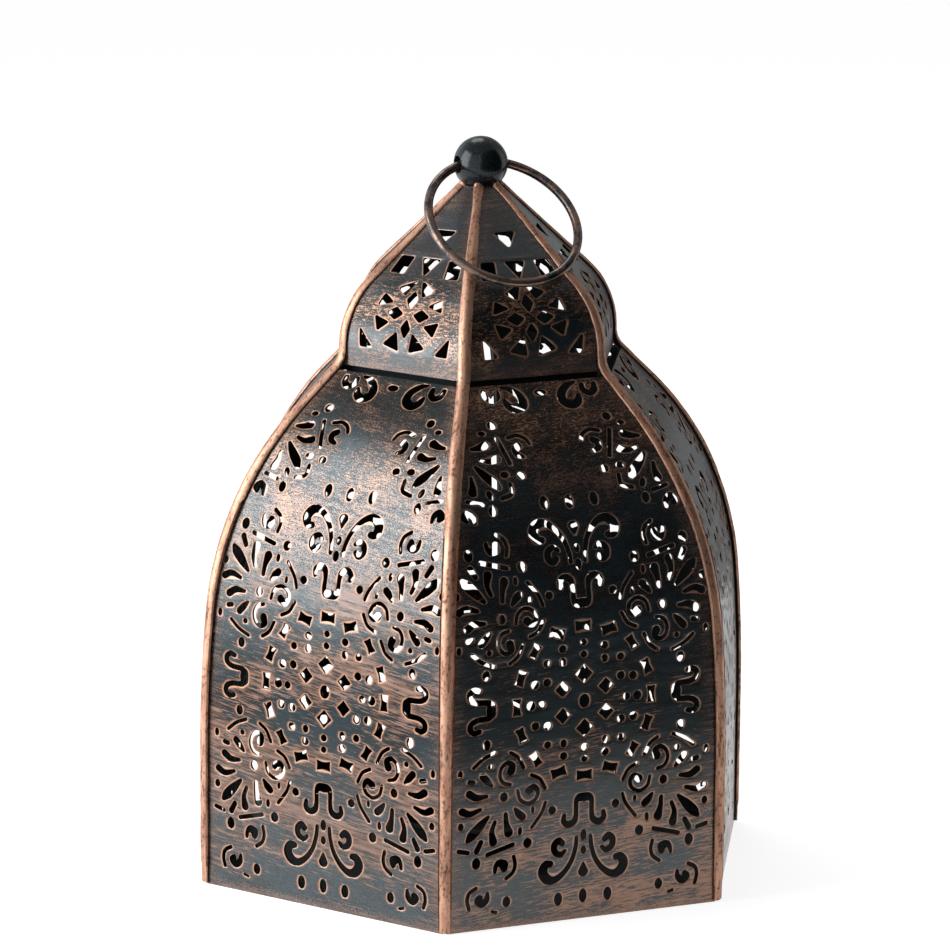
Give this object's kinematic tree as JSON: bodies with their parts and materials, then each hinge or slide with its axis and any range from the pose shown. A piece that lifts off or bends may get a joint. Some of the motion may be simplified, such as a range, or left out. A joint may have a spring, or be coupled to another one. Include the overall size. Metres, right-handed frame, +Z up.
{
  "type": "candle lantern",
  "caption": "Hexagonal pierced sheet-iron candle lantern with curved shoulders, peaked roof, corner ribs, ball top, swinging ring handle and a hinged rear door.",
  "frame": {"origin": "centre of the base on the surface that the lantern stands on", "axes": "+Z up along the lantern's axis, the front wall faces -Y and the door faces +Y"},
  "size_m": [0.1474, 0.134, 0.1808],
  "materials": {
    "rubbed_iron": "black sheet iron with horizontal copper rub marks, satin",
    "roof_iron": "black sheet iron with rubbed copper edges, satin",
    "rubbed_copper": "antique copper rubbed over black, satin",
    "ball_iron": "black with a trace of copper, satin",
    "ring_iron": "dark grey with copper on the worn side, satin",
    "dark_iron": "black iron, dull"
  },
  "bodies": {
    "frame": {"base_plate": "dark_iron", "candle_cup": "dark_iron", "wall_front": "rubbed_iron", "wall_front_left": "rubbed_iron", "wall_front_right": "rubbed_iron", "wall_rear_left": "rubbed_iron", "wall_rear_right": "rubbed_iron", "roof_front": "roof_iron", "roof_front_left": "roof_iron", "roof_front_right": "roof_iron", "roof_rear": "roof_iron", "roof_rear_left": "roof_iron", "roof_rear_right": "roof_iron", "rib_right": "rubbed_copper", "rib_rear_right": "rubbed_copper", "rib_rear_left": "rubbed_copper", "rib_left": "rubbed_copper", "rib_front_left": "rubbed_copper", "rib_front_right": "rubbed_copper", "finial_ball": "ball_iron", "hinge_knuckle_lower": "dark_iron", "hinge_knuckle_upper": "dark_iron", "hinge_pin_lower": "dark_iron", "hinge_pin_upper": "dark_iron", "latch_stud": "dark_iron"},
    "ring": {"ring_handle": "ring_iron"},
    "door": {"door_panel": "rubbed_iron", "hinge_leaf_lower": "dark_iron", "hinge_leaf_upper": "dark_iron", "door_knob": "dark_iron"},
    "button": {"latch_button": "dark_iron"}
  },
  "joints": [
    {"name": "ring_swing", "type": "hinge", "parent": "frame", "child": "ring", "pos_m": [0, 0, 0.17416], "axis": [-1, 0, 0], "range_deg": [0, 263]},
    {"name": "door_swing", "type": "hinge", "parent": "frame", "child": "door", "pos_m": [0.03785, 0.06556, 0.03], "axis": [0, 0, -1], "range_deg": [0, 110]},
    {"name": "button_turn", "type": "hinge", "parent": "frame", "child": "button", "pos_m": [-0.03685, 0.06615, 0.034], "axis": [0, -1, 0], "range_deg": [0, 90]}
  ]
}
